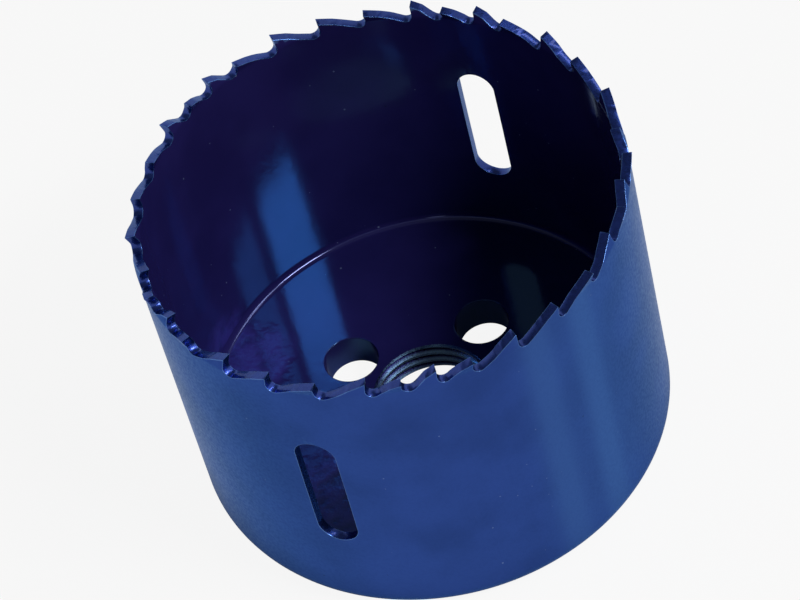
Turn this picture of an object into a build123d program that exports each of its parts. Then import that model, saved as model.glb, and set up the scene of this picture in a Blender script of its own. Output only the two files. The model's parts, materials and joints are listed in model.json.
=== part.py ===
from build123d import *
import math
import os

# Hole saw: a rolled strip of saw steel with its teeth on the rim, closed at the
# other end by a thick steel back plate that screws onto an arbor.
# Lengths are in millimetres. The back plate's flat outer face lies on z = 0 with
# the saw's axis on Z, and the teeth point up.

# Overall sizes
OUTER_DIAMETER = 60.0
OVERALL_HEIGHT = 44.1
WALL = 1.2

# Back plate
PLATE_THICKNESS = 4.8
SHOULDER_HEIGHT = 3.3
EDGE_RADIUS = 3.0
WELD_LEG = 0.9

# Thread for the arbor, 5/8-18 UNF: the bore is at the minor diameter
BORE_DIAMETER = 14.5
BORE_CHAMFER_OUTSIDE = 0.7
BORE_CHAMFER_INSIDE = 0.25

# Holes for the arbor's drive pins
PIN_HOLE_COUNT = 4
PIN_HOLE_DIAMETER = 7.0
PIN_CIRCLE_DIAMETER = 24.5
FIRST_PIN_ANGLE = 76.4

# Slots for levering the cut slug out
SLOT_LENGTH = 18.9
SLOT_WIDTH = 5.1
SLOT_CENTRE_HEIGHT = 23.4
SLOT_ANGLES = (-90.0, 88.0)

# Tooth pitches along the outer wall, and the depth of each pitch's gullet
LONG_PITCH = 6.0
SHORT_PITCH = 4.2
LONG_GULLET_DEPTH = 2.15
SHORT_GULLET_DEPTH = 1.75
WELD_GULLET_DEPTH = 1.5

# Tooth form
GULLET_RADIUS = 0.9
RAKE_UNDERCUT = 0.12
LAND_SHARE = 0.34
LAND_ANGLE = 20.0

# Set of the teeth: how far a tip leans out of or into the wall, and how far
# below the tips the lean starts
TOOTH_SET = 0.45
SET_HEIGHT = 1.5
OUT = 1
STRAIGHT = 0
IN = -1

# Order of the teeth, clockwise seen from above: the way from the tooth before,
# and the set of the tooth it leads to
LEAD = [(SHORT_PITCH, OUT), (SHORT_PITCH, IN), (SHORT_PITCH, OUT), (SHORT_PITCH, IN)]
GROUP = [
    (LONG_PITCH, OUT), (LONG_PITCH, STRAIGHT), (LONG_PITCH, IN), (LONG_PITCH, OUT),
    (SHORT_PITCH, IN), (SHORT_PITCH, OUT), (SHORT_PITCH, IN),
]
FIRST_TOOTH_ANGLE = 28.3
FIRST_TOOTH_SET = IN
LAST_TOOTH_SET = OUT
WELD_GAP = 2

# Worked out from the sizes above
OUTER_RADIUS = OUTER_DIAMETER / 2
INNER_RADIUS = OUTER_RADIUS - WALL
CUTTER_REACH = 2 * WALL
BAND_DEPTH = LONG_GULLET_DEPTH + WALL


def direction(angle):
    """Unit vector that points outwards at an angle round the axis, in degrees."""
    return Vector(math.cos(math.radians(angle)), math.sin(math.radians(angle)), 0)


def wall_plane(angle, height):
    """Plane across the wall: x runs anticlockwise round the rim and y runs up."""
    inside = direction(angle) * (INNER_RADIUS - CUTTER_REACH)
    return Plane(
        origin=(inside.X, inside.Y, height),
        x_dir=direction(angle + 90),
        z_dir=direction(angle),
    )


def closing_teeth(angle, tooth_set, pitch):
    """The last two teeth, which share the way that is left to the first."""
    last_angle = angle - math.degrees(pitch / OUTER_RADIUS)
    return [(angle, tooth_set, pitch), (last_angle, LAST_TOOTH_SET, pitch)]


def tooth_list():
    """Angle, set and following pitch of each tooth, clockwise round the rim."""
    teeth = []
    left = math.tau * OUTER_RADIUS
    tooth_set = FIRST_TOOTH_SET
    step = 0
    while True:
        travelled = math.tau * OUTER_RADIUS - left
        angle = FIRST_TOOTH_ANGLE - math.degrees(travelled / OUTER_RADIUS)
        order = LEAD[step] if step < len(LEAD) else GROUP[(step - len(LEAD)) % len(GROUP)]
        if left - order[0] < LONG_PITCH + SHORT_PITCH:
            return teeth + closing_teeth(angle, tooth_set, left / 2)
        teeth.append((angle, tooth_set, order[0]))
        left -= order[0]
        tooth_set = order[1]
        step += 1


def touch_point(centre, point, side):
    """Where a straight line from a point touches the gullet's circle."""
    away = point - centre
    turn = side * math.degrees(math.acos(GULLET_RADIUS / away.length))
    return centre + away.normalized().rotate(Axis.Z, turn) * GULLET_RADIUS


def gullet_depth(index, pitch):
    """Depth of the gullet behind a tooth."""
    if index == WELD_GAP:
        return WELD_GULLET_DEPTH
    return LONG_GULLET_DEPTH if pitch >= LONG_PITCH else SHORT_GULLET_DEPTH


def gullet_face(pitch, depth):
    """Gap between two teeth: rake at x = 0, sloping back up to the next tip."""
    next_tip = Vector(OUTER_RADIUS * math.sin(pitch / OUTER_RADIUS), 0)
    land = LAND_SHARE * pitch
    heel = next_tip - Vector(land, land * math.tan(math.radians(LAND_ANGLE)))
    centre = Vector(GULLET_RADIUS - RAKE_UNDERCUT, GULLET_RADIUS - depth)
    bottom = centre - Vector(0, GULLET_RADIUS)
    tip = Vector(0, 0)
    rake_end = touch_point(centre, tip, 1)
    back_end = touch_point(centre, heel, -1)
    above = Vector(0, CUTTER_REACH)
    outline = [
        Line(tip, rake_end),
        ThreePointArc(rake_end, bottom, back_end),
        Line(back_end, heel),
        Line(heel, next_tip),
        Line(next_tip, next_tip + above),
        Line(next_tip + above, tip + above),
        Line(tip + above, tip),
    ]
    return make_face(outline)


def gullet_cutter(angle, pitch, depth):
    """Cutter for one gap, square to the wall at the rake face."""
    face = wall_plane(angle, OVERALL_HEIGHT) * gullet_face(pitch, depth)
    return extrude(face, amount=WALL + 2 * CUTTER_REACH)


def tooth_blank(start, arc, tooth_set):
    """Stretch of the wall's upper edge, leaning by the tooth's set."""
    lean = tooth_set * TOOTH_SET
    bottom = OVERALL_HEIGHT - BAND_DEPTH
    bend = OVERALL_HEIGHT - SET_HEIGHT
    outline = Polyline(
        (INNER_RADIUS, bottom),
        (OUTER_RADIUS, bottom),
        (OUTER_RADIUS, bend),
        (OUTER_RADIUS + lean, OVERALL_HEIGHT),
        (INNER_RADIUS + lean, OVERALL_HEIGHT),
        (INNER_RADIUS, bend),
        close=True,
    )
    section = Plane.XZ * make_face(outline)
    return Rot(0, 0, start) * revolve(section, Axis.Z, revolution_arc=arc)


def tooth_band():
    """Blanks for all teeth, and the cutters for the gaps between them."""
    teeth = tooth_list()
    middle = math.degrees((GULLET_RADIUS - RAKE_UNDERCUT) / OUTER_RADIUS)
    blanks = []
    cutters = []
    for index, (angle, tooth_set, pitch) in enumerate(teeth):
        arc = math.degrees(pitch / OUTER_RADIUS)
        blanks.append(tooth_blank(angle - arc + middle, arc, tooth_set))
        cutters.append(gullet_cutter(angle - arc, pitch, gullet_depth(index, pitch)))
    return blanks, cutters


def slot_cutter(angle):
    """Cutter for one upright slot with round ends."""
    outline = SlotOverall(SLOT_LENGTH, SLOT_WIDTH, rotation=90)
    face = wall_plane(angle, SLOT_CENTRE_HEIGHT) * outline
    return extrude(face, amount=WALL + 2 * CUTTER_REACH)


def toothed_shell():
    """The rolled strip: a plain tube below, the set teeth along its upper edge."""
    height = OVERALL_HEIGHT - BAND_DEPTH - SHOULDER_HEIGHT
    tube = Pos(0, 0, SHOULDER_HEIGHT + height / 2) * (
        Cylinder(OUTER_RADIUS, height) - Cylinder(INNER_RADIUS, height)
    )
    blanks, cutters = tooth_band()
    shell = tube + blanks
    return shell - cutters - [slot_cutter(angle) for angle in SLOT_ANGLES]


def plate_blank():
    """The plate's disc: rounded outer edge, shoulder for the strip, weld inside."""
    weld_top = PLATE_THICKNESS + WELD_LEG
    outline = [
        Line((0, 0), (OUTER_RADIUS - EDGE_RADIUS, 0)),
        RadiusArc(
            (OUTER_RADIUS - EDGE_RADIUS, 0), (OUTER_RADIUS, EDGE_RADIUS), -EDGE_RADIUS
        ),
        Polyline(
            (OUTER_RADIUS, EDGE_RADIUS),
            (OUTER_RADIUS, SHOULDER_HEIGHT),
            (INNER_RADIUS, SHOULDER_HEIGHT),
            (INNER_RADIUS, weld_top),
            (INNER_RADIUS - WELD_LEG, PLATE_THICKNESS),
            (0, PLATE_THICKNESS),
            (0, 0),
        ),
    ]
    return revolve(Plane.XZ * make_face(outline), Axis.Z)


def bore_cutter():
    """The bore at the thread's minor diameter, with a chamfer at each mouth."""
    radius = BORE_DIAMETER / 2
    outline = Polyline(
        (0, 0),
        (radius + BORE_CHAMFER_OUTSIDE, 0),
        (radius, BORE_CHAMFER_OUTSIDE),
        (radius, PLATE_THICKNESS - BORE_CHAMFER_INSIDE),
        (radius + BORE_CHAMFER_INSIDE, PLATE_THICKNESS),
        (0, PLATE_THICKNESS),
        close=True,
    )
    return revolve(Plane.XZ * make_face(outline), Axis.Z)


def back_plate():
    """The plate with its threaded bore and the ring of pin holes."""
    pin_hole = Cylinder(PIN_HOLE_DIAMETER / 2, 2 * PLATE_THICKNESS)
    pin_holes = [
        Rot(0, 0, FIRST_PIN_ANGLE + index * 360 / PIN_HOLE_COUNT)
        * Pos(PIN_CIRCLE_DIAMETER / 2, 0, PLATE_THICKNESS / 2)
        * pin_hole
        for index in range(PIN_HOLE_COUNT)
    ]
    return plate_blank() - bore_cutter() - pin_holes


def main():
    os.makedirs("parts", exist_ok=True)
    export_step(toothed_shell(), "parts/toothed_shell.step")
    export_step(back_plate(), "parts/back_plate.step")


main()
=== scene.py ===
import json
import math

import bmesh
import bpy
from bpy.props import FloatProperty, FloatVectorProperty, IntProperty, PointerProperty
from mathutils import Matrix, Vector


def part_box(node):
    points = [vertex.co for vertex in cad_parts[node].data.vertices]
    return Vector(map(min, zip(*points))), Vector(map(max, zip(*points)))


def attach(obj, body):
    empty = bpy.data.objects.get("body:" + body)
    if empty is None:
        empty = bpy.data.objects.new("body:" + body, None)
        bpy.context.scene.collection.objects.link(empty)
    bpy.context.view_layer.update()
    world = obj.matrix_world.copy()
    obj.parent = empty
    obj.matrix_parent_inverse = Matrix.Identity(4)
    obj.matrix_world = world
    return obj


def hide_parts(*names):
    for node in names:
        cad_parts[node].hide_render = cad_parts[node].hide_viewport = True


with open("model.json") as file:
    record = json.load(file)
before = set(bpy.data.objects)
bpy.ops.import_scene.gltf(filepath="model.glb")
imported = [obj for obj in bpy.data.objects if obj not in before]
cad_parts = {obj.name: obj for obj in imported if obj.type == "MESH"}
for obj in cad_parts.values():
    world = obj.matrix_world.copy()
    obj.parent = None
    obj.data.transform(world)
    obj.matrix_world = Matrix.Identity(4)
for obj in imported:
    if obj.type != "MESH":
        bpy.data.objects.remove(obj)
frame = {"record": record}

bl_info = {
    "name": "Hole Saw",
    "version": (1, 0, 0),
    "blender": (4, 5, 0),
    "location": "View3D > Sidebar > Hole Saw",
    "description": "Models the toothed wall and the threaded plate of a hole saw and its studio",
    "category": "Object",
}

MM = 0.001

# The frame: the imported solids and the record's mounts
SHELL_LOW, SHELL_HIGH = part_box("toothed_shell")
PLATE_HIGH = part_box("back_plate")[1]
MOUNTS = {mount["name"]: mount for mount in frame["record"]["mounts"]}
THREAD = MOUNTS["arbor_thread"]["dims"]
PINS = MOUNTS["drive_pin_holes"]["dims"]

# Tolerances: vertices this close are one, places this close are the same, a cut this close
# to a vertex runs through it, and the rolled strip's two ends are joined over this gap
MERGE = 0.001 * MM
SLACK = 0.01 * MM
CUT_SNAP = 0.002 * MM
SEAM_MERGE = 0.004 * MM

# Order of the teeth, clockwise seen from above: pitch from the tooth before, and set
LONG, SHORT = "long_pitch", "short_pitch"
OUT, STRAIGHT, IN = 1, 0, -1
LEAD = [(SHORT, OUT), (SHORT, IN), (SHORT, OUT), (SHORT, IN)]
GROUP = [(LONG, OUT), (LONG, STRAIGHT), (LONG, IN), (LONG, OUT), (SHORT, IN), (SHORT, OUT), (SHORT, IN)]
FIRST_TOOTH_ANGLE = math.radians(28.3)
FIRST_TOOTH_SET = IN
LAST_TOOTH_SET = OUT

# The tooth behind which the strip's two ends are welded, counted from 0
WELD_GAP = 2

# Flats of the round stretches: a gullet's half, a slot punch, a pin punch, its flares,
# the plate's rounded edge and its weld
GULLET_STEPS, SLOT_STEPS, PIN_STEPS, FLARE_STEPS, RIM_STEPS, WELD_STEPS = 5, 48, 72, 4, 12, 8

# Edges of the strip that turn by more than this are rounded. The slots' edges and the teeth's
# are told apart this far above the slots, and the foot's edges stay sharp up to this height.
SHARP_TURN = math.radians(32)
EDGE_CLEAR = 0.2 * MM

# Thread: half the width of the groove's mouth as a share of the pitch, slope of its flanks,
# and turns that the tap has beyond the plate's two faces together
GROOVE_SHARE = 0.375
FLANK = math.radians(30)
SPARE_TURNS = 3

# The wall's material slots are outside, inside, cut faces and edges
EDGE_SLOT = 3

# Where the lacquer ran while it was wet, and where its lighter colour is a painted highlight: centre
# and radius of each patch
RUNS_AND_PAINTED_HIGHLIGHT = (
    (-25.0 * MM, 1.0 * MM, 6.5 * MM, 6.0 * MM),
    (-7.0 * MM, -19.5 * MM, 5.0 * MM, 9.0 * MM),
)

# Painted highlight on the outer wall, as paler bands of its colour: direction of the centre, half
# width, half width of the part at full strength, all in degrees, and strength
PAINTED_HIGHLIGHT_BANDS = ((-26.0, 18.0, 9.0, 0.3), (-34.5, 6.0, 1.0, 0.45), (-21.0, 6.0, 1.0, 0.65))

# Scales of the lacquer's patterns and of the thread's wear and tool marks, per metre
TONE, DUST, PITS, GRAIN, PEEL, SWIRL, RAGGED = 90, 700, 450, 2600, 700, 420, 220
WEAR, TOOL_MARKS = 250, 3000

# Range in which nearly all of a noise's values lie
NOISE_RANGE = (0.3, 0.7)

# Refractive index of the inner lacquer's gloss, high so that the gloss is strong head-on too
GLOSS_INDEX = 4.0

# Softboxes: name, direction round the saw and height in degrees, and width in metres
SOFTBOXES = (("key", -10, 48.5, 0.176), ("side", 19, 49, 0.125), ("fill", 46, 57, 0.14))
SOFTBOX_HEIGHT = 0.1
SOFTBOX_DISTANCE = 0.6
SOFTBOX_AIM = Vector((0, 0, 0.02))

# Heights of a view direction, from 0 to 1, between which the room's walls become its ceiling
CEILING_START, CEILING_FULL = 0.5, 0.72

# The floor lies this far below the saw, so that their faces don't coincide
FLOOR_GAP = 0.05 * MM
FLOOR_SIZE = 4.0

# Whites of the floor and the walls in view, the floor's share of its own white there, which
# leaves the rest to shadows, and its brightness in gloss beneath the saw, a painted shadow
FLOOR_WHITE = 0.97
WALL_WHITE = 0.96
FLOOR_OWN = 0.93
FLOOR_PAINTED_SHADOW = 0.05

# Camera: place, turn in degrees and lens in millimetres
CAMERA_PLACE = (142.1 * MM, -243.6 * MM, 350.6 * MM)
CAMERA_TURN = (39.711, 10.024, 18.582)
CAMERA_LENS = 158.93


# ---------------------------------------------------------------- properties


def length(name, description, default):
    """A size in metres that a user may change."""
    return FloatProperty(
        name=name, description=description, default=default, unit="LENGTH", precision=5
    )


def angle(name, description, degrees):
    """An angle that a user may change."""
    return FloatProperty(
        name=name, description=description, default=math.radians(degrees), subtype="ANGLE"
    )


def colour(name, description, default):
    """A linear colour that a user may change."""
    return FloatVectorProperty(
        name=name, description=description, default=default, subtype="COLOR", min=0.0, max=1.0
    )


def amount(name, description, default):
    """A plain number that a user may change."""
    return FloatProperty(name=name, description=description, default=default)


class WallSizes(bpy.types.PropertyGroup):
    """Sizes of the rolled strip."""

    outer_radius: length("Outer radius", "Outside of the wall", PLATE_HIGH.x)
    top: length("Height", "Height of the highest tooth tip", SHELL_HIGH.z)
    bottom: length("Shoulder", "Height that the strip starts at", SHELL_LOW.z)
    wall: length("Wall", "Thickness of the strip", 1.2 * MM)
    long_pitch: length("Long pitch", "Way from tooth to tooth in the coarse stretch", 6.0 * MM)
    short_pitch: length("Short pitch", "Way from tooth to tooth in the fine stretch", 4.2 * MM)
    long_depth: length("Long gullet", "Depth of a gullet of the long pitch", 2.15 * MM)
    short_depth: length("Short gullet", "Depth of a gullet of the short pitch", 1.75 * MM)
    weld_depth: length("Weld gullet", "Depth of the gullet that the strip's weld fills", 1.5 * MM)
    gullet_radius: length("Gullet radius", "Radius at the bottom of a gullet", 0.9 * MM)
    undercut: length("Undercut", "How far a gullet reaches behind its rake", 0.12 * MM)
    land_share: amount("Land share", "Length of a land as a share of its pitch", 0.34)
    land_angle: angle("Land angle", "Slope of a land", 20)
    set_height: length("Set height", "Height of the part of a tooth that leans", 1.5 * MM)
    bend_zone: length("Bend", "Height over which a tooth bends", 0.25 * MM)
    set_lean: length("Set", "How far a set tip leans out of the strip", 0.45 * MM)
    slot_length: length("Slot length", "Length of a slug slot", 18.9 * MM)
    slot_width: length("Slot width", "Width of a slug slot", 5.1 * MM)
    slot_height: length("Slot height", "Height of a slug slot's centre", 23.4 * MM)
    slot_front: angle("Front slot", "Where the front slot lies round the wall", -90)
    slot_back: angle("Back slot", "Where the back slot lies round the wall", 88)
    slot_edge: length("Slot edge", "Width of the slots' rounded edges", 0.14 * MM)
    edge: length("Edge", "Width of the teeth's rounded edges", 0.08 * MM)
    columns: IntProperty(name="Columns", description="Flats round the rolled wall", default=240)


class PlateSizes(bpy.types.PropertyGroup):
    """Sizes of the back plate."""

    outer_radius: length("Outer radius", "Outside of the plate", PLATE_HIGH.x)
    thickness: length("Thickness", "Height of the plate's inner face", 4.8 * MM)
    shoulder: length("Shoulder", "Height of the step that carries the strip", SHELL_LOW.z)
    wall: length("Step width", "Width of the step that carries the strip", 1.2 * MM)
    edge_radius: length("Edge radius", "Rounding of the outer edge", 3.0 * MM)
    weld_top: length("Weld top", "Height of the weld's upper edge", PLATE_HIGH.z)
    weld_leg: length("Weld leg", "Width of the weld on the plate", 0.9 * MM)
    bore_radius: length("Bore radius", "Minor radius of the thread", THREAD["r_mm"] * MM)
    thread_pitch: length("Thread pitch", "Pitch of the 5/8-18 thread", 25.4 / 18 * MM)
    thread_depth: length("Thread depth", "Depth of the thread's groove", 0.66 * MM)
    chamfer_out: length("Outer chamfer", "Chamfer at the bore's outer mouth", 0.7 * MM)
    chamfer_in: length("Inner chamfer", "Chamfer at the bore's inner mouth", 0.25 * MM)
    pin_radius: length("Pin hole radius", "Radius of a drive-pin hole", PINS["hole_r_mm"] * MM)
    pin_circle: length("Pin circle radius", "Radius of the ring of holes", PINS["pcd_mm"] / 2 * MM)
    pin_count: IntProperty(name="Pin holes", description="Number of holes", default=PINS["count"])
    pin_angle: angle("First pin hole", "Where the first hole lies", 76.4)
    edge: length("Edge", "Rounding of the pin holes' edges", 0.15 * MM)
    steps: IntProperty(name="Steps", description="Flats round the plate", default=240)


class Finishes(bpy.types.PropertyGroup):
    """Colours of the saw and brightness of its studio."""

    paint: colour("Lacquer", "Blue lacquer on the outer wall", (0.020, 0.050, 0.225))
    paint_inside: colour(
        "Lacquer inside", "Lacquer on the inner wall and plate", (0.0155, 0.0125, 0.094)
    )
    cut: colour("Cut faces", "Lacquer on the teeth's cut faces", (0.016, 0.036, 0.20))
    # Lighter colour on the rounded edges: a painted highlight
    edge: colour("Edges", "Lighter lacquer on the edges, a painted highlight", (0.06, 0.14, 0.38))
    # Colour of the highlight bands painted on the outer wall
    painted_highlight_lacquer: colour("Painted highlight lacquer", "Lighter bands on the outer wall", (0.036, 0.092, 0.30))
    # Lighter colour where the lacquer ran: a painted highlight
    run_and_painted_highlight: colour("Lacquer runs and painted highlight", "Thick lacquer that ran, with a painted highlight", (0.036, 0.030, 0.22))
    weld: colour("Weld gloss", "Tint of the gloss on the plate's weld", (0.07, 0.085, 0.18))
    dust: colour("Dust", "Fine dust on the lacquer", (0.25, 0.33, 0.55))
    pit: colour("Pits", "Pits in the lacquer", (0.006, 0.012, 0.06))
    steel: colour("Steel", "Blued steel of the thread", (0.085, 0.155, 0.26))
    floor: colour("Floor", "Pale floor", (0.88, 0.88, 0.88))
    sheen: colour("Gloss outside", "Tint of the outer wall's gloss at its sides", (0.50, 0.67, 0.90))
    gloss: colour("Gloss inside", "Tint of the inner lacquer's gloss", (0.050, 0.117, 0.23))
    room: amount("Room light", "Strength of the pale room", 0.25)
    ceiling: amount("Ceiling", "Brightness of the ceiling", 0.15)
    key: amount("Key light", "Brightness of the main softbox", 31.0)
    side: amount("Side light", "Brightness of the second softbox", 10.0)
    fill: amount("Fill light", "Brightness of the third softbox", 6.0)


# ------------------------------------------------------------- mesh helpers


def new_outline(name, x, z):
    """A new object in edit mode that holds one selected vertex, the start of an outline."""
    bpy.ops.object.select_all(action="DESELECT")
    bpy.ops.mesh.primitive_plane_add(size=MM, enter_editmode=True, location=(0, 0, 0))
    bpy.context.object.name = name
    bpy.ops.mesh.select_mode(type="VERT")
    bpy.ops.mesh.merge(type="CENTER")
    bpy.ops.transform.translate(value=(x, 0, z))
    return bpy.context.object


def line_to(here, there):
    """Extrudes the selected vertex from one point of the XZ plane to another."""
    step = (there[0] - here[0], 0, there[1] - here[1])
    bpy.ops.mesh.extrude_vertices_move(TRANSFORM_OT_translate={"value": step})
    return there


def arc_to(here, centre, turn, steps):
    """Spins the selected vertex about a centre; a positive turn goes from X towards Z."""
    bpy.ops.mesh.spin(
        steps=steps, angle=turn, center=(centre[0], 0, centre[1]), axis=(0, 1, 0)
    )
    away = Vector((here[0] - centre[0], here[1] - centre[1]))
    cos, sin = math.cos(turn), math.sin(turn)
    return (
        centre[0] + away.x * cos - away.y * sin,
        centre[1] + away.x * sin + away.y * cos,
    )


def heading(centre, point):
    """Angle of a point round a centre in the XZ plane."""
    return math.atan2(point[1] - centre[1], point[0] - centre[0])


def select_vertices(test):
    """Selects the vertices of the edited mesh whose place passes a test."""
    work = bmesh.from_edit_mesh(bpy.context.object.data)
    bpy.ops.mesh.select_mode(type="VERT")
    for vertex in work.verts:
        vertex.select = test(vertex.co)
    work.select_flush_mode()
    bmesh.update_edit_mesh(bpy.context.object.data)


def select_faces(test):
    """Selects the faces of the edited mesh whose centre and normal pass a test."""
    work = bmesh.from_edit_mesh(bpy.context.object.data)
    bpy.ops.mesh.select_mode(type="FACE")
    for face in work.faces:
        face.select = test(face.calc_center_median(), face.normal)
    work.select_flush_mode()
    bmesh.update_edit_mesh(bpy.context.object.data)


def select_edges(test):
    """Selects the edges of the edited mesh that pass a test."""
    work = bmesh.from_edit_mesh(bpy.context.object.data)
    bpy.ops.mesh.select_mode(type="EDGE")
    for edge in work.edges:
        edge.select = test(edge)
    work.select_flush_mode()
    bmesh.update_edit_mesh(bpy.context.object.data)


def is_sharp(edge, limit):
    """Whether an edge has two faces that turn by more than a limit."""
    return len(edge.link_faces) == 2 and edge.calc_face_angle(0) > limit


def cut_with(piece, cutter):
    """Subtracts a cutter from a piece and deletes the cutter."""
    bpy.ops.object.select_all(action="DESELECT")
    bpy.context.view_layer.objects.active = piece
    modifier = piece.modifiers.new("Cut", "BOOLEAN")
    modifier.operation = "DIFFERENCE"
    modifier.solver = "EXACT"
    modifier.object = cutter
    bpy.ops.object.modifier_apply(modifier=modifier.name)
    bpy.data.objects.remove(cutter)


def activate(piece):
    """Selects one object alone."""
    bpy.ops.object.select_all(action="DESELECT")
    piece.select_set(True)
    bpy.context.view_layer.objects.active = piece


def give_slot(material, test):
    """Adds a material to the active object and gives it to the faces that pass a test."""
    piece = bpy.context.object
    piece.data.materials.append(material)
    piece.active_material_index = len(piece.data.materials) - 1
    bpy.ops.object.mode_set(mode="EDIT")
    select_faces(test)
    bpy.ops.object.material_slot_assign()
    bpy.ops.object.mode_set(mode="OBJECT")


def finish_piece(piece, node, smooth_angle):
    """Smooths a finished piece, hangs it on the body and hides the imported part that it stands for."""
    activate(piece)
    bpy.ops.object.transform_apply(location=True, rotation=True, scale=True)
    bpy.ops.object.shade_smooth_by_angle(angle=smooth_angle, keep_sharp_edges=False)
    weighted = piece.modifiers.new("Weighted normals", "WEIGHTED_NORMAL")
    weighted.keep_sharp = True
    bpy.ops.object.modifier_apply(modifier=weighted.name)
    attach(piece, "root")
    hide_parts(node)


# --------------------------------------------------------------- the strip


def one_tooth(sizes, step, left, tooth_set, pitch):
    """Angle, set, following pitch and gullet depth of one tooth."""
    travelled = math.tau * sizes.outer_radius - left
    depth = sizes.long_depth if pitch > sizes.long_pitch - SLACK else sizes.short_depth
    return {
        "angle": FIRST_TOOTH_ANGLE - travelled / sizes.outer_radius,
        "set": tooth_set,
        "pitch": pitch,
        "depth": sizes.weld_depth if step == WELD_GAP else depth,
    }


def tooth_list(sizes):
    """All teeth, clockwise: the last two share the way that is left to the first."""
    teeth = []
    left = math.tau * sizes.outer_radius
    tooth_set = FIRST_TOOTH_SET
    while True:
        step = len(teeth)
        kind, next_set = LEAD[step] if step < len(LEAD) else GROUP[(step - len(LEAD)) % len(GROUP)]
        pitch = getattr(sizes, kind)
        if left - pitch < sizes.long_pitch + sizes.short_pitch:
            teeth.append(one_tooth(sizes, step, left, tooth_set, left / 2))
            teeth.append(one_tooth(sizes, step + 1, left / 2, LAST_TOOTH_SET, left / 2))
            return teeth
        teeth.append(one_tooth(sizes, step, left, tooth_set, pitch))
        left -= pitch
        tooth_set = next_set


def teeth_from_seam(sizes):
    """The teeth in the flat strip's order, from its right end to its left end."""
    teeth = tooth_list(sizes)
    teeth = teeth[WELD_GAP + 1:] + teeth[:WELD_GAP + 1]
    half = math.pi * sizes.outer_radius
    bottom_offset = sizes.gullet_radius - sizes.undercut
    x = half - bottom_offset
    for index, tooth in enumerate(teeth):
        tooth["x"] = x
        tooth["front_depth"] = teeth[index - 1]["depth"]
        x -= tooth["pitch"]
    return teeth


def seam_angle(sizes):
    """Where the strip's two ends meet, at the bottom of the welded gullet."""
    after_weld = tooth_list(sizes)[WELD_GAP + 1]["angle"]
    return after_weld + (sizes.gullet_radius - sizes.undercut) / sizes.outer_radius


def gullet_centre(sizes, x, depth):
    """Centre of a gullet's circle, in front of the rake at x."""
    return (x + sizes.gullet_radius - sizes.undercut, sizes.top - depth + sizes.gullet_radius)


def touch_angle(sizes, centre, point, side):
    """Direction from a gullet's centre to where a line from a point touches it."""
    away = math.dist(centre, point)
    return heading(centre, point) + side * math.acos(sizes.gullet_radius / away)


def on_circle(centre, radius, direction):
    """Point of a circle in the XZ plane."""
    return (centre[0] + radius * math.cos(direction), centre[1] + radius * math.sin(direction))


def clockwise(start, end):
    """Turn from one direction clockwise to another."""
    return -((start - end) % math.tau)


def draw_tooth(sizes, tooth, here):
    """Draws one tooth from the bottom of its front gullet to the bottom of the next."""
    radius = sizes.gullet_radius
    front = gullet_centre(sizes, tooth["x"], tooth["front_depth"])
    tip = (tooth["x"], sizes.top)
    rake = touch_angle(sizes, front, tip, 1)
    here = arc_to(here, front, clockwise(-math.pi / 2, rake), GULLET_STEPS)
    here = line_to(here, tip)
    land = sizes.land_share * tooth["pitch"]
    heel = (tip[0] - land, tip[1] - land * math.tan(sizes.land_angle))
    here = line_to(here, heel)
    behind = gullet_centre(sizes, tooth["x"] - tooth["pitch"], tooth["depth"])
    back = touch_angle(sizes, behind, heel, -1)
    here = line_to(here, on_circle(behind, radius, back))
    return arc_to(here, behind, clockwise(back, -math.pi / 2), GULLET_STEPS)


def flat_strip(sizes, teeth):
    """The flat strip with its teeth milled, as a closed solid."""
    half = math.pi * sizes.outer_radius
    start = (half, sizes.top - teeth[0]["front_depth"])
    strip = new_outline("toothed_wall", *start)
    here = start
    for tooth in teeth:
        here = draw_tooth(sizes, tooth, here)
    here = line_to(here, (-half, sizes.bottom))
    line_to(here, (half, sizes.bottom))
    select_vertices(lambda co: True)
    bpy.ops.mesh.remove_doubles(threshold=MERGE)
    select_vertices(lambda co: co.x > half - SLACK)
    bpy.ops.mesh.edge_face_add()
    select_vertices(lambda co: True)
    bpy.ops.mesh.edge_face_add()
    bpy.ops.mesh.extrude_region_move(TRANSFORM_OT_translate={"value": (0, sizes.wall, 0)})
    select_vertices(lambda co: True)
    bpy.ops.mesh.normals_make_consistent(inside=False)
    bpy.ops.object.mode_set(mode="OBJECT")
    return strip


def slot_punch(sizes, x):
    """Solid that punches one upright slot with round ends out of the flat strip."""
    radius = sizes.slot_width / 2
    reach = sizes.slot_length / 2 - radius
    bpy.ops.object.select_all(action="DESELECT")
    bpy.ops.mesh.primitive_cylinder_add(
        vertices=SLOT_STEPS,
        radius=radius,
        depth=sizes.wall * 3,
        location=(x, sizes.wall / 2, sizes.slot_height),
        rotation=(math.pi / 2, 0, 0),
    )
    punch = bpy.context.object
    bpy.ops.object.transform_apply(location=True, rotation=True, scale=True)
    bpy.ops.object.mode_set(mode="EDIT")
    split = radius * math.sin(math.tau / SLOT_STEPS) / 2
    for side in (1, -1):
        select_vertices(lambda co: side * (co.z - sizes.slot_height) > split)
        bpy.ops.transform.translate(value=(0, 0, side * reach))
    bpy.ops.object.mode_set(mode="OBJECT")
    return punch


def strip_place(sizes, around):
    """Place along the flat strip of an angle round the saw."""
    turn = (around - seam_angle(sizes)) % math.tau
    return (turn - math.pi) * sizes.outer_radius


def slant(slope, height):
    """Slants what is selected along Y over a height: a turn, a stretch and a turn back."""
    turn = math.atan2(2, slope) / 2
    stretch = (math.sqrt(slope * slope + 4) + slope) / 2
    pivot = (0, 0, height)
    bpy.ops.transform.rotate(value=math.pi / 2 - turn, orient_axis="X", center_override=pivot)
    bpy.ops.transform.resize(value=(1, stretch, 1 / stretch), center_override=pivot)
    bpy.ops.transform.rotate(value=-turn, orient_axis="X", center_override=pivot)


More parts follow.
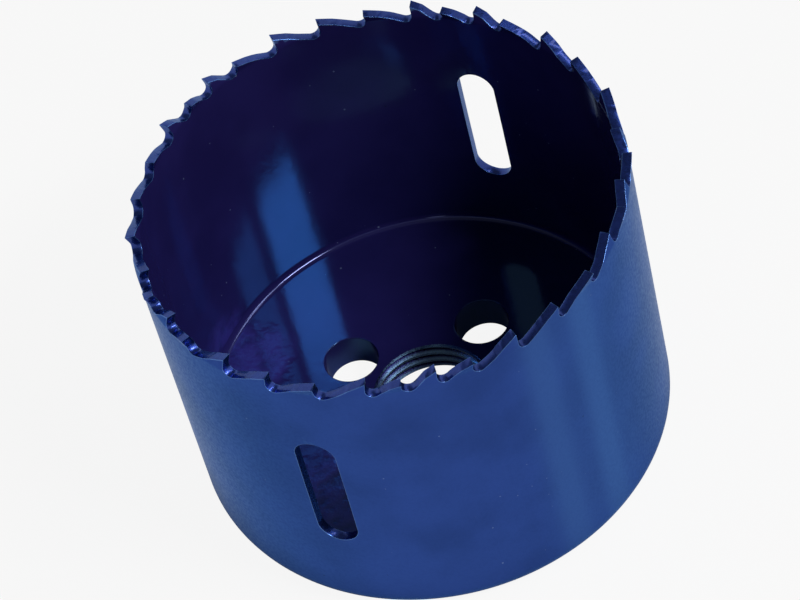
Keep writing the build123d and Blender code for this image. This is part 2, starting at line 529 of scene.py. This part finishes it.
def set_teeth(sizes, teeth):
    """Leans the teeth out of the strip's plane in two steps; their lands stay level."""
    bend = sizes.top - sizes.set_height
    heights = (bend, bend + sizes.bend_zone)
    slope = sizes.set_lean / (2 * sizes.set_height - sizes.bend_zone)
    bpy.ops.object.mode_set(mode="EDIT")
    for height in (bend - sizes.bend_zone, *heights):
        select_vertices(lambda co: True)
        bpy.ops.mesh.bisect(plane_co=(0, 0, height), plane_no=(0, 0, 1), threshold=CUT_SNAP)
    for side in (OUT, IN):
        spans = [
            (tooth["x"] - tooth["pitch"] + sizes.gullet_radius, tooth["x"] + sizes.gullet_radius)
            for tooth in teeth
            if tooth["set"] == side
        ]
        for height in heights:
            select_vertices(
                lambda co: co.z > height + SLACK
                and any(low < co.x < high for low, high in spans)
            )
            slant(-side * slope, height)
    bpy.ops.object.mode_set(mode="OBJECT")


def round_strip_edges(sizes, low, high, width):
    """Rounds the sharp edges between two heights, but not those at the strip's ends."""
    half = math.pi * sizes.outer_radius

    def chosen(edge):
        within = all(low < vertex.co.z < high for vertex in edge.verts)
        at_end = all(abs(vertex.co.x) > half - SLACK for vertex in edge.verts)
        return is_sharp(edge, SHARP_TURN) and within and not at_end

    bpy.ops.object.mode_set(mode="EDIT")
    select_edges(chosen)
    bpy.ops.mesh.bevel(
        offset=width,
        offset_type="OFFSET",
        segments=2,
        profile=0.5,
        affect="EDGES",
        material=EDGE_SLOT,
        clamp_overlap=True,
    )
    bpy.ops.object.mode_set(mode="OBJECT")


def slice_columns(sizes):
    """Cuts the flat strip into upright columns, so that it can be rolled."""
    width = math.tau * sizes.outer_radius / sizes.columns
    bpy.ops.object.mode_set(mode="EDIT")
    for column in range(1, sizes.columns):
        x = (column - sizes.columns / 2) * width
        bpy.ops.mesh.select_all(action="SELECT")
        bpy.ops.mesh.bisect(plane_co=(x, 0, 0), plane_no=(1, 0, 0), threshold=CUT_SNAP)
    bpy.ops.object.mode_set(mode="OBJECT")


def open_ends(sizes):
    """Deletes the faces at the strip's two ends, where it is welded."""
    half = math.pi * sizes.outer_radius
    bpy.ops.object.mode_set(mode="EDIT")
    select_faces(lambda centre, normal: abs(centre.x) > half - MERGE and abs(normal.x) > 0.9)
    bpy.ops.mesh.delete(type="FACE")
    bpy.ops.object.mode_set(mode="OBJECT")


def roll_strip(sizes, strip):
    """Rolls the strip into a ring round the axis, and joins its ends."""
    activate(strip)
    roll = strip.modifiers.new("Roll", "SIMPLE_DEFORM")
    roll.deform_method = "BEND"
    roll.deform_axis = "Z"
    roll.angle = math.tau
    bpy.ops.object.modifier_apply(modifier=roll.name)
    bpy.ops.object.mode_set(mode="EDIT")
    select_vertices(lambda co: True)
    bpy.ops.mesh.remove_doubles(threshold=SEAM_MERGE)
    bpy.ops.object.mode_set(mode="OBJECT")
    strip.location = (0, -sizes.outer_radius, 0)
    bpy.ops.object.transform_apply(location=True, rotation=False, scale=False)
    turn_to_x_axis = math.pi * 1.5
    strip.rotation_euler = (0, 0, turn_to_x_axis + seam_angle(sizes))
    bpy.ops.object.transform_apply(location=False, rotation=True, scale=False)


class HOLESAW_OT_toothed_wall(bpy.types.Operator):
    """Model the toothed wall: a flat strip is milled, rounded, set and rolled"""

    bl_idname = "holesaw.toothed_wall"
    bl_label = "Toothed Wall"

    def execute(self, context):
        sizes = context.scene.wall_sizes
        finishes = context.scene.saw_finishes
        teeth = teeth_from_seam(sizes)
        strip = flat_strip(sizes, teeth)
        for around in (sizes.slot_front, sizes.slot_back):
            cut_with(strip, slot_punch(sizes, strip_place(sizes, around)))
        activate(strip)
        strip.data.materials.append(outside_lacquer(finishes))
        give_slot(inside_lacquer(finishes), lambda centre, normal: normal.y > 0.5)
        give_slot(cut_lacquer(finishes), lambda centre, normal: abs(normal.y) < 0.5)
        # The rounded edges get a lighter lacquer that paints a highlight
        strip.data.materials.append(highlight_edge_lacquer(finishes))
        above_slots = sizes.slot_height + sizes.slot_length / 2 + EDGE_CLEAR
        round_strip_edges(sizes, sizes.bottom + EDGE_CLEAR, above_slots, sizes.slot_edge)
        round_strip_edges(sizes, above_slots, math.inf, sizes.edge)
        set_teeth(sizes, teeth)
        open_ends(sizes)
        slice_columns(sizes)
        roll_strip(sizes, strip)
        finish_piece(strip, "toothed_shell", smooth_angle=math.radians(35))
        return {"FINISHED"}


# --------------------------------------------------------------- the plate


def plate_disc(sizes):
    """The plate turned from its section: bore, rounded edge, step and hollow weld."""
    bore = sizes.bore_radius
    outer = sizes.outer_radius
    inner = outer - sizes.wall
    thick = sizes.thickness
    start = (bore + sizes.chamfer_out, 0)
    disc = new_outline("threaded_plate", *start)
    here = line_to(start, (outer - sizes.edge_radius, 0))
    rim_centre = (outer - sizes.edge_radius, sizes.edge_radius)
    here = arc_to(here, rim_centre, math.pi / 2, RIM_STEPS)
    here = line_to(here, (outer, sizes.shoulder))
    here = line_to(here, (inner, sizes.shoulder))
    here = line_to(here, (inner, sizes.weld_top))
    weld_centre = (inner - sizes.weld_leg, sizes.weld_top)
    here = arc_to(here, weld_centre, -math.pi / 2, WELD_STEPS)
    here = line_to(here, (bore + sizes.chamfer_in, thick))
    here = line_to(here, (bore, thick - sizes.chamfer_in))
    here = line_to(here, (bore, sizes.chamfer_out))
    line_to(here, start)
    bpy.ops.mesh.select_all(action="SELECT")
    bpy.ops.mesh.remove_doubles(threshold=MERGE)
    bpy.ops.mesh.select_all(action="SELECT")
    bpy.ops.mesh.spin(steps=sizes.steps, angle=math.tau, center=(0, 0, 0), axis=(0, 0, 1))
    bpy.ops.mesh.select_all(action="SELECT")
    bpy.ops.mesh.remove_doubles(threshold=MERGE)
    bpy.ops.mesh.normals_make_consistent(inside=False)
    bpy.ops.object.mode_set(mode="OBJECT")
    return disc


def pin_punch(sizes, around):
    """Solid that cuts one pin hole, flared where it leaves the plate's faces."""
    radius = sizes.pin_radius
    edge = sizes.edge
    spare = 0.2 * MM
    start = (0, -spare)
    punch = new_outline("pin_punch", *start)
    here = line_to(start, (radius + edge, -spare))
    here = line_to(here, (radius + edge, 0))
    here = arc_to(here, (radius + edge, edge), -math.pi / 2, FLARE_STEPS)
    here = line_to(here, (radius, sizes.thickness - edge))
    flare = (radius + edge, sizes.thickness - edge)
    here = arc_to(here, flare, -math.pi / 2, FLARE_STEPS)
    here = line_to(here, (radius + edge, sizes.thickness + spare))
    line_to(here, (0, sizes.thickness + spare))
    bpy.ops.mesh.select_all(action="SELECT")
    bpy.ops.mesh.spin(steps=PIN_STEPS, angle=math.tau, center=(0, 0, 0), axis=(0, 0, 1))
    bpy.ops.mesh.select_all(action="SELECT")
    bpy.ops.mesh.remove_doubles(threshold=MERGE)
    bpy.ops.mesh.normals_make_consistent(inside=False)
    bpy.ops.object.mode_set(mode="OBJECT")
    place = (sizes.pin_circle * math.cos(around), sizes.pin_circle * math.sin(around), 0)
    punch.location = place
    activate(punch)
    bpy.ops.object.transform_apply(location=True, rotation=False, scale=False)
    return punch


def thread_tap(sizes):
    """Helical rib with a 60 degree section that cuts the thread's groove."""
    bore = sizes.bore_radius
    pitch = sizes.thread_pitch
    root = bore + sizes.thread_depth
    wide = pitch * GROOVE_SHARE
    narrow = wide - sizes.thread_depth * math.tan(FLANK)
    spare = 0.3 * MM
    back = bore - spare
    start = (back, -wide)
    tap = new_outline("thread_tap", *start)
    here = line_to(start, (bore, -wide))
    here = line_to(here, (root, -narrow))
    here = line_to(here, (root, narrow))
    here = line_to(here, (bore, wide))
    here = line_to(here, (back, wide))
    line_to(here, start)
    bpy.ops.mesh.select_all(action="SELECT")
    bpy.ops.mesh.remove_doubles(threshold=MERGE)
    bpy.ops.transform.translate(value=(0, 0, -SPARE_TURNS / 2 * pitch))
    bpy.ops.object.mode_set(mode="OBJECT")
    turn = tap.modifiers.new("Thread", "SCREW")
    turn.axis = "Z"
    turn.angle = math.tau
    turn.screw_offset = pitch
    turn.iterations = math.ceil(sizes.thickness / pitch) + SPARE_TURNS
    turn.steps = sizes.steps
    turn.render_steps = sizes.steps
    bpy.ops.object.modifier_apply(modifier=turn.name)
    bpy.ops.object.mode_set(mode="EDIT")
    select_edges(lambda edge: edge.is_boundary)
    bpy.ops.mesh.fill_holes(sides=0)
    bpy.ops.mesh.select_all(action="SELECT")
    bpy.ops.mesh.normals_make_consistent(inside=False)
    bpy.ops.object.mode_set(mode="OBJECT")
    return tap


class HOLESAW_OT_back_plate(bpy.types.Operator):
    """Model the back plate: a turned disc with pin holes and an arbor thread"""

    bl_idname = "holesaw.back_plate"
    bl_label = "Back Plate"

    def execute(self, context):
        sizes = context.scene.plate_sizes
        finishes = context.scene.saw_finishes
        plate = plate_disc(sizes)
        for index in range(sizes.pin_count):
            around = sizes.pin_angle + index * math.tau / sizes.pin_count
            cut_with(plate, pin_punch(sizes, around))
        cut_with(plate, thread_tap(sizes))
        activate(plate)
        plate.data.materials.append(inside_lacquer(finishes))
        inner = sizes.outer_radius - sizes.wall
        give_slot(
            outside_lacquer(finishes),
            lambda centre, normal: math.hypot(centre.x, centre.y) > inner + SLACK
            or centre.z < SLACK,
        )
        foot = inner - sizes.weld_leg
        give_slot(
            weld_lacquer(finishes),
            lambda centre, normal: foot < math.hypot(centre.x, centre.y) < inner
            and centre.z > sizes.thickness + SLACK,
        )
        clear = 0.1 * MM
        reach = sizes.bore_radius + sizes.thread_depth + clear
        give_slot(
            thread_steel(sizes, finishes),
            lambda centre, normal: math.hypot(centre.x, centre.y) < reach,
        )
        finish_piece(plate, "back_plate", smooth_angle=math.radians(30))
        return {"FINISHED"}


# --------------------------------------------------------------- materials


def add_node(tree, kind, inputs=None, **settings):
    """Adds a shader node, sets its properties and fills or links its inputs."""
    node = tree.nodes.new(kind)
    for name, value in settings.items():
        setattr(node, name, value)
    for key, value in (inputs or {}).items():
        if isinstance(value, bpy.types.NodeSocket):
            tree.links.new(value, node.inputs[key])
        else:
            node.inputs[key].default_value = value
    return node


def new_material(name):
    """A node material with its shader and its Object coordinates."""
    material = bpy.data.materials.new(name)
    material.use_nodes = True
    tree = material.node_tree
    shader = tree.nodes["Principled BSDF"]
    place = tree.nodes.new("ShaderNodeTexCoord").outputs["Object"]
    return material, tree, shader, place


def maths(tree, operation, first, second=0.0):
    """Result of a maths node."""
    node = add_node(tree, "ShaderNodeMath", {0: first, 1: second}, operation=operation)
    return node.outputs[0]


def noise(tree, place, scale, detail=2.0, roughness=0.5):
    """Grey noise of a given scale per metre."""
    inputs = {"Vector": place, "Scale": scale, "Detail": detail, "Roughness": roughness}
    return add_node(tree, "ShaderNodeTexNoise", inputs).outputs["Fac"]


def remap(tree, value, low, high, to_low=0.0, to_high=1.0):
    """Value carried from one range to another, with smooth ends."""
    inputs = {"Value": value, 1: low, 2: high, 3: to_low, 4: to_high}
    node = add_node(tree, "ShaderNodeMapRange", inputs, interpolation_type="SMOOTHSTEP")
    return node.outputs["Result"]


def mix_colour(tree, factor, first, second):
    """Mix of two colours."""
    node = add_node(tree, "ShaderNodeMix", data_type="RGBA")
    for key, value in (("Factor", factor), ("A", first), ("B", second)):
        socket = [s for s in node.inputs if s.name == key and s.enabled][0]
        if isinstance(value, bpy.types.NodeSocket):
            tree.links.new(value, socket)
        else:
            socket.default_value = value
    return [s for s in node.outputs if s.enabled][0]


def spots(tree, place, scale, share, size):
    """Small round spots: a share of the cells of a Voronoi pattern holds one each."""
    cells = add_node(tree, "ShaderNodeTexVoronoi", {"Vector": place, "Scale": scale})
    chance = add_node(tree, "ShaderNodeSeparateColor", {0: cells.outputs["Color"]})
    reach = maths(tree, "MULTIPLY", chance.outputs["Green"], size)
    inside = maths(tree, "LESS_THAN", cells.outputs["Distance"], reach)
    chosen = maths(tree, "LESS_THAN", chance.outputs["Red"], share)
    return maths(tree, "MULTIPLY", inside, chosen)


def distance_from_axis(tree, place):
    """Distance of a place from the upright axis."""
    axes = add_node(tree, "ShaderNodeSeparateXYZ", {0: place})
    squares = [maths(tree, "MULTIPLY", axes.outputs[k], axes.outputs[k]) for k in "XY"]
    return maths(tree, "SQRT", maths(tree, "ADD", *squares))


def rgba(value):
    """A colour with its alpha."""
    return (*value, 1.0)


def runs_and_painted_highlight(tree, place):
    """1 where the lacquer ran while it was wet and a highlight is painted, with ragged borders."""
    ragged = noise(tree, place, RAGGED, 3)
    total = 0.0
    for x, y, z, radius in RUNS_AND_PAINTED_HIGHLIGHT:
        inputs = {0: place, 1: (x, y, z)}
        node = add_node(tree, "ShaderNodeVectorMath", inputs, operation="DISTANCE")
        away = maths(tree, "ADD", node.outputs["Value"], maths(tree, "MULTIPLY", ragged, radius))
        run_and_painted_highlight = remap(tree, away, radius * 1.6, radius * 1.1)
        total = maths(tree, "ADD", total, run_and_painted_highlight)
    return total


def lacquer(name, paint, finishes, roughness, swirls=0.0):
    """Lacquer with soft tone changes, dust, pits and orange peel, and its shader.

    Where swirls isn't 0, the lacquer ran in places and swirls is the height of its lumps; there the
    colour is lighter, a painted highlight.
    """
    material, tree, shader, place = new_material(name)
    tone = remap(tree, noise(tree, place, TONE, 3), *NOISE_RANGE)
    lighter = rgba([min(1.0, c * 1.15 + 0.001) for c in paint])
    darker = rgba([c * 0.9 for c in paint])
    base = mix_colour(tree, tone, darker, lighter)
    dust = spots(tree, place, DUST, 0.3, 0.09)
    pits = spots(tree, place, PITS, 0.25, 0.08)
    base = mix_colour(tree, maths(tree, "MULTIPLY", pits, 0.7), base, rgba(finishes.pit))
    base = mix_colour(tree, maths(tree, "MULTIPLY", dust, 0.4), base, rgba(finishes.dust))
    grain = noise(tree, place, GRAIN, 3)
    rough = remap(tree, grain, *NOISE_RANGE, roughness * 0.8, roughness * 1.2)
    peel = maths(tree, "ADD", noise(tree, place, PEEL, 2), maths(tree, "MULTIPLY", grain, 0.3))
    peel = maths(tree, "SUBTRACT", peel, maths(tree, "MULTIPLY", pits, 0.8))
    if swirls:
        ran = runs_and_painted_highlight(tree, place)
        swirl = noise(tree, place, SWIRL, 3)
        lump = maths(tree, "MULTIPLY", maths(tree, "MULTIPLY", swirl, swirls), ran)
        peel = maths(tree, "ADD", peel, lump)
        rough = maths(tree, "ADD", rough, maths(tree, "MULTIPLY", ran, 0.1))
        # Painted highlight: a lighter colour where the lacquer ran
        thick = maths(tree, "MULTIPLY", remap(tree, swirl, 0.3, 0.6, 0.25, 1.0), ran)
        base = mix_colour(tree, thick, base, rgba(finishes.run_and_painted_highlight))
    tree.links.new(base, shader.inputs["Base Color"])
    tree.links.new(rough, shader.inputs["Roughness"])
    bump = add_node(
        tree, "ShaderNodeBump", {"Height": peel, "Strength": 0.25, "Distance": 0.03 * MM}
    )
    tree.links.new(bump.outputs["Normal"], shader.inputs["Normal"])
    return material, shader


def painted_highlight_bands(tree, place):
    """Painted highlight: two soft upright bands round the wall, and the paler ground between them."""
    axes = add_node(tree, "ShaderNodeSeparateXYZ", {0: place})
    around = maths(tree, "ARCTAN2", axes.outputs["Y"], axes.outputs["X"])
    total = 0.0
    for centre, edge, full, strength in PAINTED_HIGHLIGHT_BANDS:
        away = maths(tree, "SUBTRACT", around, math.radians(centre))
        away = maths(tree, "ABSOLUTE", away)
        band = remap(tree, away, math.radians(edge), math.radians(full), 0.0, strength)
        total = maths(tree, "ADD", total, band)
    return total


def outside_lacquer(finishes):
    """Outer wall: metallic blue whose gloss stays blue towards its sides, with painted highlight bands.
    """
    material, shader = lacquer("outside lacquer", finishes.paint, finishes, 0.36)
    tree = material.node_tree
    place = tree.nodes["Texture Coordinate"].outputs["Object"]
    paint = shader.inputs["Base Color"].links[0].from_socket
    # Paints the highlight bands into the outer wall's colour
    base = mix_colour(tree, painted_highlight_bands(tree, place), paint, rgba(finishes.painted_highlight_lacquer))
    tree.links.new(base, shader.inputs["Base Color"])
    shader.inputs["Metallic"].default_value = 0.92
    shader.inputs["Specular Tint"].default_value = rgba(finishes.sheen)
    return material


def inside_lacquer(finishes):
    """Inner wall and plate: deep indigo under a clear blue gloss."""
    material, shader = lacquer("inside lacquer", finishes.paint_inside, finishes, 0.1, 30.0)
    shader.inputs["IOR"].default_value = GLOSS_INDEX
    shader.inputs["Specular Tint"].default_value = rgba(finishes.gloss)
    return material


def glossy_lacquer(name, paint, finishes):
    """Thick lacquer with a clear gloss that glints in the gullets."""
    material, shader = lacquer(name, paint, finishes, 0.3)
    shader.inputs["Metallic"].default_value = 0.85
    shader.inputs["Specular Tint"].default_value = rgba(finishes.sheen)
    shader.inputs["Coat Weight"].default_value = 0.2
    shader.inputs["Coat Roughness"].default_value = 0.05
    return material


def cut_lacquer(finishes):
    """Milled and punched faces."""
    return glossy_lacquer("cut face lacquer", finishes.cut, finishes)


def highlight_edge_lacquer(finishes):
    """Rounded edges, whose lighter lacquer is a painted highlight."""
    return glossy_lacquer("edge lacquer", finishes.edge, finishes)


def weld_lacquer(finishes):
    """Weld round the plate's foot: the same lacquer with a greyer gloss."""
    material, shader = lacquer("weld lacquer", finishes.paint_inside, finishes, 0.11)
    shader.inputs["IOR"].default_value = GLOSS_INDEX
    shader.inputs["Specular Tint"].default_value = rgba(finishes.weld)
    return material


def thread_steel(sizes, finishes):
    """Blued steel, bright on the thread's crests and lacquered in its roots."""
    material, tree, shader, place = new_material("thread steel")
    bore = sizes.bore_radius
    crest = remap(tree, distance_from_axis(tree, place), bore + 0.5 * MM, bore + 0.1 * MM)
    wear = remap(tree, noise(tree, place, WEAR, 2), *NOISE_RANGE, 0.6, 1.0)
    bare = maths(tree, "MULTIPLY", crest, wear)
    base = mix_colour(tree, bare, rgba(finishes.paint_inside), rgba(finishes.steel))
    tree.links.new(base, shader.inputs["Base Color"])
    shader.inputs["Metallic"].default_value = 1.0
    rough = remap(tree, noise(tree, place, TOOL_MARKS, 2), *NOISE_RANGE, 0.22, 0.36)
    tree.links.new(rough, shader.inputs["Roughness"])
    return material


# ------------------------------------------------------------------- stage


def background_ray(tree):
    """1 for rays that show the background: from the camera, in gloss or through glass."""
    path = tree.nodes.new("ShaderNodeLightPath")
    shown = maths(tree, "MAXIMUM", path.outputs["Is Camera Ray"], path.outputs["Is Glossy Ray"])
    return maths(tree, "MAXIMUM", shown, path.outputs["Is Transmission Ray"])


def floor_material(sizes, finishes):
    """Pale floor: nearly white in view, with a shadow painted beneath the saw in gloss, clear from
    below.

    It is clear too for rays that come from as near as the saw's own underside.
    """
    material, tree, shader, place = new_material("pale floor")
    shader.inputs["Base Color"].default_value = rgba(finishes.floor)
    shader.inputs["Roughness"].default_value = 0.8
    white = add_node(
        tree, "ShaderNodeEmission", {"Color": rgba([FLOOR_WHITE] * 3), "Strength": 1.0}
    )
    away, radius = distance_from_axis(tree, place), sizes.outer_radius
    # Painted shadow: the floor's white in gloss fades beneath the saw
    outside_painted_shadow = remap(tree, away, radius * 0.9, radius * 1.2, FLOOR_PAINTED_SHADOW, 1.0)
    path = tree.nodes.new("ShaderNodeLightPath")
    glossy, through = path.outputs["Is Glossy Ray"], path.outputs["Is Transmission Ray"]
    mirrored = maths(tree, "MAXIMUM", glossy, through)
    shown = maths(tree, "MULTIPLY", mirrored, outside_painted_shadow)
    shown = maths(tree, "MAXIMUM", shown, path.outputs["Is Camera Ray"])
    share = maths(tree, "MULTIPLY", shown, FLOOR_OWN)
    mix = add_node(
        tree,
        "ShaderNodeMixShader",
        {0: share, 1: shader.outputs["BSDF"], 2: white.outputs["Emission"]},
    )
    near = maths(tree, "LESS_THAN", path.outputs["Ray Length"], 3 * FLOOR_GAP)
    below = tree.nodes.new("ShaderNodeNewGeometry").outputs["Backfacing"]
    clear = add_node(
        tree,
        "ShaderNodeMixShader",
        {
            0: maths(tree, "MAXIMUM", below, near),
            1: mix.outputs["Shader"],
            2: tree.nodes.new("ShaderNodeBsdfTransparent").outputs["BSDF"],
        },
    )
    tree.links.new(clear.outputs["Shader"], tree.nodes["Material Output"].inputs["Surface"])
    return material


def pale_room(finishes):
    """World with pale walls and a dim ceiling in view, and a soft light elsewhere."""
    world = bpy.data.worlds.new("pale room")
    bpy.context.scene.world = world
    world.use_nodes = True
    tree = world.node_tree
    background = tree.nodes["Background"]
    background.inputs["Color"].default_value = rgba([WALL_WHITE] * 3)
    way = tree.nodes.new("ShaderNodeTexCoord").outputs["Generated"]
    up = add_node(tree, "ShaderNodeSeparateXYZ", {0: way}).outputs["Z"]
    walls = remap(tree, up, CEILING_START, CEILING_FULL, 1.0, finishes.ceiling)
    light = maths(tree, "MULTIPLY", walls, finishes.room)
    seen = background_ray(tree)
    extra = maths(tree, "MULTIPLY", maths(tree, "SUBTRACT", walls, light), seen)
    tree.links.new(maths(tree, "ADD", light, extra), background.inputs["Strength"])


def softbox(name, around, up, width, brightness):
    """Rectangular light that looks at the saw; a brightness of 1 is white."""
    around, up = math.radians(around), math.radians(up)
    level = math.cos(up)
    away = Vector((level * math.cos(around), level * math.sin(around), math.sin(up)))
    bpy.ops.object.light_add(type="AREA", location=SOFTBOX_AIM + away * SOFTBOX_DISTANCE)
    light = bpy.context.object
    light.name = name
    light.rotation_euler = away.to_track_quat("Z", "Y").to_euler()
    light.data.shape = "RECTANGLE"
    light.data.size = width
    light.data.size_y = SOFTBOX_HEIGHT
    light.data.energy = math.pi * width * SOFTBOX_HEIGHT * brightness


class HOLESAW_OT_studio(bpy.types.Operator):
    """Add the pale floor, the soft lights and the camera"""

    bl_idname = "holesaw.studio"
    bl_label = "Studio"

    def execute(self, context):
        finishes = context.scene.saw_finishes
        bpy.ops.object.select_all(action="DESELECT")
        bpy.ops.mesh.primitive_plane_add(size=FLOOR_SIZE, location=(0, 0, -FLOOR_GAP))
        floor = context.object
        floor.name = "floor"
        floor.data.materials.append(floor_material(context.scene.plate_sizes, finishes))
        pale_room(finishes)
        for name, around, up, width in SOFTBOXES:
            softbox(f"{name} light", around, up, width, getattr(finishes, name))
        bpy.ops.object.camera_add(
            location=CAMERA_PLACE, rotation=[math.radians(a) for a in CAMERA_TURN]
        )
        camera = context.object
        camera.data.lens = CAMERA_LENS
        camera.data.clip_start = 0.01
        context.scene.camera = camera
        context.scene.view_settings.view_transform = "Standard"
        return {"FINISHED"}


# ------------------------------------------------------------------- panel

STEPS = (HOLESAW_OT_toothed_wall, HOLESAW_OT_back_plate, HOLESAW_OT_studio)


class HOLESAW_PT_sidebar(bpy.types.Panel):
    """Lists the saw's pieces and sizes."""

    bl_idname = "HOLESAW_PT_sidebar"
    bl_label = "Hole Saw"
    bl_space_type = "VIEW_3D"
    bl_region_type = "UI"
    bl_category = "Hole Saw"

    def draw(self, context):
        for step in STEPS:
            self.layout.operator(step.bl_idname)
        for name in ("wall_sizes", "plate_sizes", "saw_finishes"):
            group = getattr(context.scene, name)
            box = self.layout.box()
            for key in group.bl_rna.properties.keys():
                if key not in ("rna_type", "name"):
                    box.prop(group, key)


CLASSES = (WallSizes, PlateSizes, Finishes, *STEPS, HOLESAW_PT_sidebar)


def register():
    for each in CLASSES:
        bpy.utils.register_class(each)
    bpy.types.Scene.wall_sizes = PointerProperty(type=WallSizes)
    bpy.types.Scene.plate_sizes = PointerProperty(type=PlateSizes)
    bpy.types.Scene.saw_finishes = PointerProperty(type=Finishes)


def unregister():
    del bpy.types.Scene.saw_finishes
    del bpy.types.Scene.plate_sizes
    del bpy.types.Scene.wall_sizes
    for each in reversed(CLASSES):
        bpy.utils.unregister_class(each)


def main():
    register()
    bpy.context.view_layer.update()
    bpy.ops.holesaw.toothed_wall()
    bpy.ops.holesaw.back_plate()
    bpy.ops.holesaw.studio()


if __name__ == "__main__":
    main()
